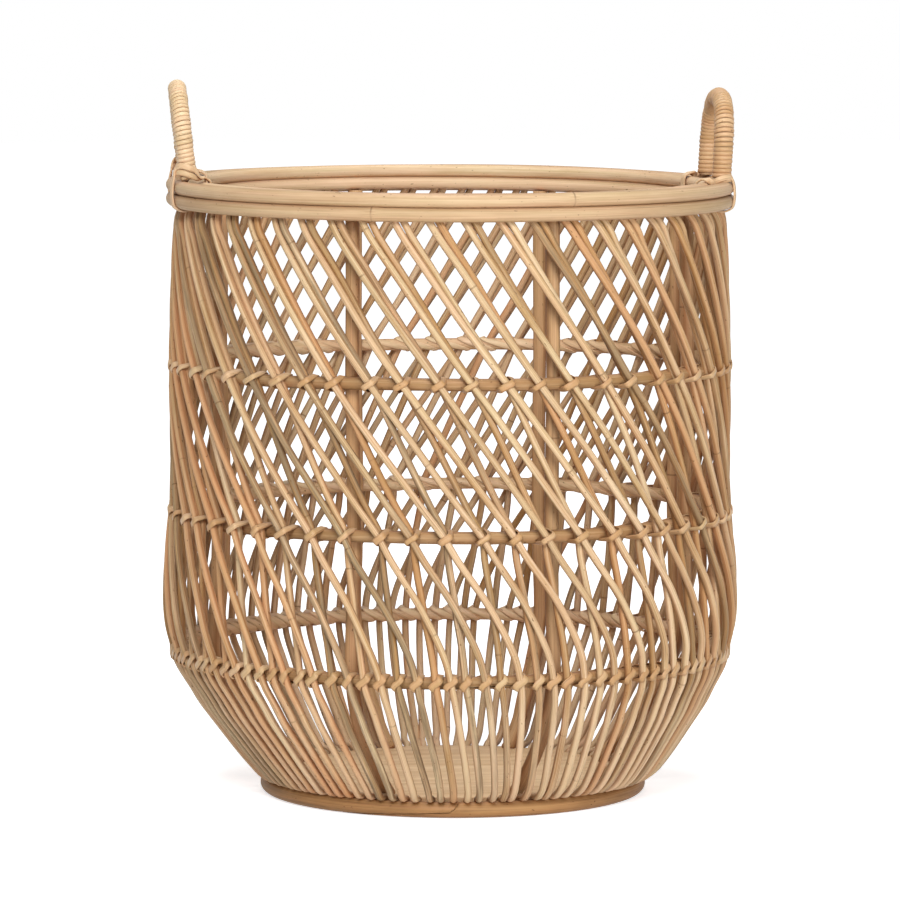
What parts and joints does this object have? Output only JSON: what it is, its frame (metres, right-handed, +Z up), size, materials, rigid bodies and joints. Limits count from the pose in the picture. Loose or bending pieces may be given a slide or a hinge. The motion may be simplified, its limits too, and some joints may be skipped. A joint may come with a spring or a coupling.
{
  "type": "round openwork cane basket",
  "caption": "Tall round open basket of slanting cane stakes on hoops, with a flat board base, a double cane rim and two wrapped loop handles.",
  "frame": {"origin": "middle of the underside, on the surface that the basket stands on", "axes": "+Z up along the basket's axis, +X through the middle of the right handle, -Y towards the front"},
  "size_m": [0.401, 0.401, 0.4944],
  "materials": {
    "rim_cane": "satin",
    "hoop_cane": "satin",
    "stake_cane": "satin",
    "upright_cane": "satin",
    "handle_cane": "satin",
    "strip": "satin",
    "board": "matt"
  },
  "bodies": {
    "root": {"rim_outer_lower": "rim_cane", "rim_outer_upper": "rim_cane", "rim_inner_lower": "rim_cane", "rim_inner_upper": "rim_cane", "hoop_upper": "hoop_cane", "hoop_middle": "hoop_cane", "hoop_lower": "hoop_cane", "base_ring": "hoop_cane", "base_board": "board", "stakes_01": "stake_cane", "stakes_02": "stake_cane", "stakes_03": "stake_cane", "stakes_04": "stake_cane", "stakes_05": "stake_cane", "stakes_06": "stake_cane", "stakes_07": "stake_cane", "stakes_08": "stake_cane", "stakes_09": "stake_cane", "stakes_10": "stake_cane", "stakes_11": "stake_cane", "stakes_12": "stake_cane", "stakes_13": "stake_cane", "stakes_14": "stake_cane", "stakes_15": "stake_cane", "stakes_16": "stake_cane", "stakes_17": "stake_cane", "stakes_18": "stake_cane", "stakes_19": "stake_cane", "stakes_20": "stake_cane", "stakes_21": "stake_cane", "stakes_22": "stake_cane", "stakes_23": "stake_cane", "stakes_24": "stake_cane", "stakes_25": "stake_cane", "stakes_26": "stake_cane", "stakes_27": "stake_cane", "upright_01": "upright_cane", "upright_02": "upright_cane", "upright_03": "upright_cane", "upright_04": "upright_cane", "upright_05": "upright_cane", "upright_06": "upright_cane", "upright_07": "upright_cane", "upright_08": "upright_cane", "handle_right": "handle_cane", "handle_left": "handle_cane", "handle_right_wrap": "strip", "handle_left_wrap": "strip", "lashing_right_front": "strip", "lashing_right_back": "strip", "lashing_left_front": "strip", "lashing_left_back": "strip"}
  },
  "joints": []
}
